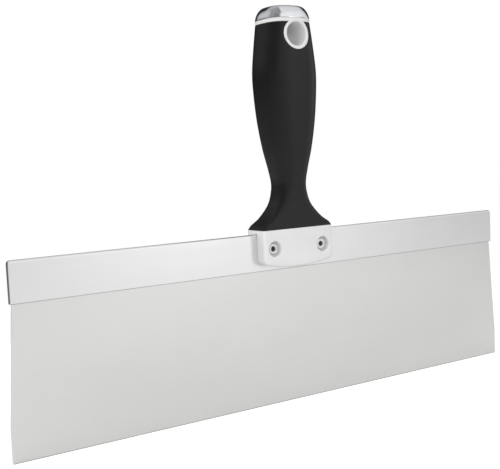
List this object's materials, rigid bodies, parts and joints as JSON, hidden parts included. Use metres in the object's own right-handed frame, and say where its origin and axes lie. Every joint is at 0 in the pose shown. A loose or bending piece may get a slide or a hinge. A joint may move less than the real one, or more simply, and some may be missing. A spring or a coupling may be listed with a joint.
{
  "type": "drywall taping knife",
  "caption": "Wide flexible steel blade with a folded aluminium back, riveted to an overmoulded handle with a hang hole and a hammer cap, for spreading joint compound.",
  "frame": {"origin": "middle of the blade's working edge, in the blade's mid-plane", "axes": "+Z from the working edge up the handle to the cap, +X along the blade, front face towards -Y"},
  "size_m": [0.3556, 0.0294, 0.2335],
  "materials": {
    "blade_steel": "satin rolled stainless sheet",
    "back_aluminium": "satin folded aluminium strip",
    "core_plastic": "off-white rigid moulding, semi-gloss",
    "grip_rubber": "black soft-touch overmould, matte",
    "cap_chrome": "bright chrome plate",
    "rivet_steel": "bright plated steel"
  },
  "bodies": {
    "root": {"blade": "blade_steel", "blade_back": "back_aluminium", "handle_core": "core_plastic", "grip": "grip_rubber", "end_cap": "cap_chrome", "rivet_left": "rivet_steel", "rivet_right": "rivet_steel"}
  },
  "joints": []
}
